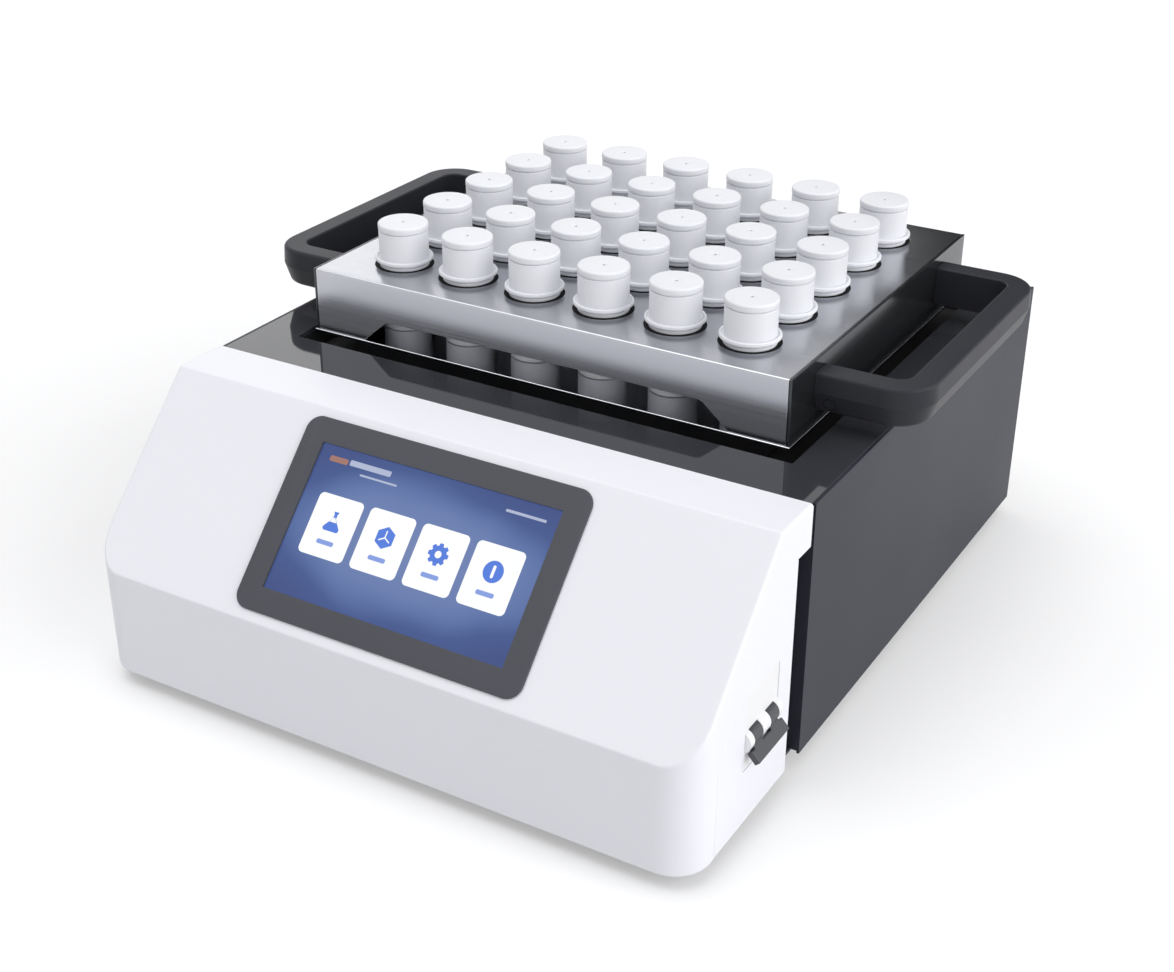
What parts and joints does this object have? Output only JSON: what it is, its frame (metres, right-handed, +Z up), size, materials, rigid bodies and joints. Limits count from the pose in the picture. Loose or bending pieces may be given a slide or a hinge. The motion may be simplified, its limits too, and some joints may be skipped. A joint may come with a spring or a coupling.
{
  "type": "sample digester",
  "caption": "Bench-top block digester with a sloped touch-screen console, a heated graphite block and a lift-out steel rack of capped vessels.",
  "frame": {"origin": "on the bench under the middle of the whole instrument", "axes": "+Z up, -Y towards the user at the console, +X to the user's right"},
  "size_m": [0.4352, 0.4676, 0.2315],
  "materials": {
    "white_enamel": "satin white enamel",
    "dark_sheet": "satin dark grey powder coat",
    "deck_gloss": "glossy dark grey",
    "bezel_grey": "matte dark grey",
    "screen_glass": "lit blue screen under glass",
    "circuit_green": "solder resist",
    "black_liner": "matte black",
    "graphite": "machined graphite",
    "heater_aluminium": "cast",
    "black_felt": "dark felt",
    "probe_steel": "plain",
    "black_plastic": "matte black",
    "breaker_white": "satin white",
    "toggle_plastic": "satin black",
    "foot_rubber": "matte",
    "brushed_stainless": "fine brushed",
    "polished_stainless": "polished",
    "handle_plastic": "satin dark grey",
    "vessel_white": "satin fluoropolymer"
  },
  "bodies": {
    "housing": {"base_pan": "dark_sheet", "console_shell": "white_enamel", "console_cheek_left": "white_enamel", "console_cheek_right": "white_enamel", "display_bezel": "bezel_grey", "display_panel": "screen_glass", "control_board": "circuit_green", "top_deck": "deck_gloss", "side_panel_left": "dark_sheet", "side_panel_right": "dark_sheet", "rear_panel": "dark_sheet", "well_tub": "black_liner", "graphite_block": "graphite", "heater_plate": "heater_aluminium", "insulation": "black_felt", "temperature_probe": "probe_steel", "fan_frame": "black_plastic", "breaker_case": "breaker_white", "mains_inlet": "black_plastic", "feet": "foot_rubber", "housing_screws": "probe_steel"},
    "fan_rotor": {"fan_rotor": "black_plastic"},
    "breaker_toggle": {"breaker_toggle": "toggle_plastic"},
    "rack": {"rack_top": "brushed_stainless", "rack_end_plates": "brushed_stainless", "rack_lower_plate": "polished_stainless", "rack_handle_left": "handle_plastic", "rack_handle_right": "handle_plastic", "handle_screws": "probe_steel"},
    "vessel_r1_c1": {"vessel_r1_c1": "vessel_white"},
    "vessel_r1_c2": {"vessel_r1_c2": "vessel_white"},
    "vessel_r1_c3": {"vessel_r1_c3": "vessel_white"},
    "vessel_r1_c4": {"vessel_r1_c4": "vessel_white"},
    "vessel_r1_c5": {"vessel_r1_c5": "vessel_white"},
    "vessel_r1_c6": {"vessel_r1_c6": "vessel_white"},
    "vessel_r2_c1": {"vessel_r2_c1": "vessel_white"},
    "vessel_r2_c2": {"vessel_r2_c2": "vessel_white"},
    "vessel_r2_c3": {"vessel_r2_c3": "vessel_white"},
    "vessel_r2_c4": {"vessel_r2_c4": "vessel_white"},
    "vessel_r2_c5": {"vessel_r2_c5": "vessel_white"},
    "vessel_r2_c6": {"vessel_r2_c6": "vessel_white"},
    "vessel_r3_c1": {"vessel_r3_c1": "vessel_white"},
    "vessel_r3_c2": {"vessel_r3_c2": "vessel_white"},
    "vessel_r3_c3": {"vessel_r3_c3": "vessel_white"},
    "vessel_r3_c4": {"vessel_r3_c4": "vessel_white"},
    "vessel_r3_c5": {"vessel_r3_c5": "vessel_white"},
    "vessel_r3_c6": {"vessel_r3_c6": "vessel_white"},
    "vessel_r4_c1": {"vessel_r4_c1": "vessel_white"},
    "vessel_r4_c2": {"vessel_r4_c2": "vessel_white"},
    "vessel_r4_c3": {"vessel_r4_c3": "vessel_white"},
    "vessel_r4_c4": {"vessel_r4_c4": "vessel_white"},
    "vessel_r4_c5": {"vessel_r4_c5": "vessel_white"},
    "vessel_r4_c6": {"vessel_r4_c6": "vessel_white"},
    "vessel_r5_c1": {"vessel_r5_c1": "vessel_white"},
    "vessel_r5_c2": {"vessel_r5_c2": "vessel_white"},
    "vessel_r5_c3": {"vessel_r5_c3": "vessel_white"},
    "vessel_r5_c4": {"vessel_r5_c4": "vessel_white"},
    "vessel_r5_c5": {"vessel_r5_c5": "vessel_white"},
    "vessel_r5_c6": {"vessel_r5_c6": "vessel_white"},
    "vessel_lid": {"vessel_lid_front_right": "vessel_white"}
  },
  "joints": [
    {"name": "rack_lift", "type": "slide", "parent": "housing", "child": "rack", "axis": [0, 0, 1], "range_m": [0, 0.12]},
    {"name": "breaker_switch", "type": "hinge", "parent": "housing", "child": "breaker_toggle", "pos_m": [0.1901, -0.16025, 0.061], "axis": [0, -1, 0], "range_deg": [0, 90]},
    {"name": "fan_spin", "type": "hinge", "parent": "housing", "child": "fan_rotor", "pos_m": [-0.11, 0.22, 0.06], "axis": [0, 1, 0], "continuous": true},
    {"name": "vessel_r1_c1_lift", "type": "slide", "parent": "rack", "child": "vessel_r1_c1", "axis": [0, 0, 1], "range_m": [0, 0.13]},
    {"name": "vessel_r1_c2_lift", "type": "slide", "parent": "rack", "child": "vessel_r1_c2", "axis": [0, 0, 1], "range_m": [0, 0.13]},
    {"name": "vessel_r1_c3_lift", "type": "slide", "parent": "rack", "child": "vessel_r1_c3", "axis": [0, 0, 1], "range_m": [0, 0.13]},
    {"name": "vessel_r1_c4_lift", "type": "slide", "parent": "rack", "child": "vessel_r1_c4", "axis": [0, 0, 1], "range_m": [0, 0.13]},
    {"name": "vessel_r1_c5_lift", "type": "slide", "parent": "rack", "child": "vessel_r1_c5", "axis": [0, 0, 1], "range_m": [0, 0.13]},
    {"name": "vessel_r1_c6_lift", "type": "slide", "parent": "rack", "child": "vessel_r1_c6", "axis": [0, 0, 1], "range_m": [0, 0.13]},
    {"name": "vessel_r2_c1_lift", "type": "slide", "parent": "rack", "child": "vessel_r2_c1", "axis": [0, 0, 1], "range_m": [0, 0.13]},
    {"name": "vessel_r2_c2_lift", "type": "slide", "parent": "rack", "child": "vessel_r2_c2", "axis": [0, 0, 1], "range_m": [0, 0.13]},
    {"name": "vessel_r2_c3_lift", "type": "slide", "parent": "rack", "child": "vessel_r2_c3", "axis": [0, 0, 1], "range_m": [0, 0.13]},
    {"name": "vessel_r2_c4_lift", "type": "slide", "parent": "rack", "child": "vessel_r2_c4", "axis": [0, 0, 1], "range_m": [0, 0.13]},
    {"name": "vessel_r2_c5_lift", "type": "slide", "parent": "rack", "child": "vessel_r2_c5", "axis": [0, 0, 1], "range_m": [0, 0.13]},
    {"name": "vessel_r2_c6_lift", "type": "slide", "parent": "rack", "child": "vessel_r2_c6", "axis": [0, 0, 1], "range_m": [0, 0.13]},
    {"name": "vessel_r3_c1_lift", "type": "slide", "parent": "rack", "child": "vessel_r3_c1", "axis": [0, 0, 1], "range_m": [0, 0.13]},
    {"name": "vessel_r3_c2_lift", "type": "slide", "parent": "rack", "child": "vessel_r3_c2", "axis": [0, 0, 1], "range_m": [0, 0.13]},
    {"name": "vessel_r3_c3_lift", "type": "slide", "parent": "rack", "child": "vessel_r3_c3", "axis": [0, 0, 1], "range_m": [0, 0.13]},
    {"name": "vessel_r3_c4_lift", "type": "slide", "parent": "rack", "child": "vessel_r3_c4", "axis": [0, 0, 1], "range_m": [0, 0.13]},
    {"name": "vessel_r3_c5_lift", "type": "slide", "parent": "rack", "child": "vessel_r3_c5", "axis": [0, 0, 1], "range_m": [0, 0.13]},
    {"name": "vessel_r3_c6_lift", "type": "slide", "parent": "rack", "child": "vessel_r3_c6", "axis": [0, 0, 1], "range_m": [0, 0.13]},
    {"name": "vessel_r4_c1_lift", "type": "slide", "parent": "rack", "child": "vessel_r4_c1", "axis": [0, 0, 1], "range_m": [0, 0.13]},
    {"name": "vessel_r4_c2_lift", "type": "slide", "parent": "rack", "child": "vessel_r4_c2", "axis": [0, 0, 1], "range_m": [0, 0.13]},
    {"name": "vessel_r4_c3_lift", "type": "slide", "parent": "rack", "child": "vessel_r4_c3", "axis": [0, 0, 1], "range_m": [0, 0.13]},
    {"name": "vessel_r4_c4_lift", "type": "slide", "parent": "rack", "child": "vessel_r4_c4", "axis": [0, 0, 1], "range_m": [0, 0.13]},
    {"name": "vessel_r4_c5_lift", "type": "slide", "parent": "rack", "child": "vessel_r4_c5", "axis": [0, 0, 1], "range_m": [0, 0.13]},
    {"name": "vessel_r4_c6_lift", "type": "slide", "parent": "rack", "child": "vessel_r4_c6", "axis": [0, 0, 1], "range_m": [0, 0.13]},
    {"name": "vessel_r5_c1_lift", "type": "slide", "parent": "rack", "child": "vessel_r5_c1", "axis": [0, 0, 1], "range_m": [0, 0.13]},
    {"name": "vessel_r5_c2_lift", "type": "slide", "parent": "rack", "child": "vessel_r5_c2", "axis": [0, 0, 1], "range_m": [0, 0.13]},
    {"name": "vessel_r5_c3_lift", "type": "slide", "parent": "rack", "child": "vessel_r5_c3", "axis": [0, 0, 1], "range_m": [0, 0.13]},
    {"name": "vessel_r5_c4_lift", "type": "slide", "parent": "rack", "child": "vessel_r5_c4", "axis": [0, 0, 1], "range_m": [0, 0.13]},
    {"name": "vessel_r5_c5_lift", "type": "slide", "parent": "rack", "child": "vessel_r5_c5", "axis": [0, 0, 1], "range_m": [0, 0.13]},
    {"name": "vessel_r5_c6_lift", "type": "slide", "parent": "rack", "child": "vessel_r5_c6", "axis": [0, 0, 1], "range_m": [0, 0.13]},
    {"name": "vessel_lid_lift", "type": "slide", "parent": "vessel_r1_c6", "child": "vessel_lid", "axis": [0, 0, 1], "range_m": [0, 0.03]}
  ]
}
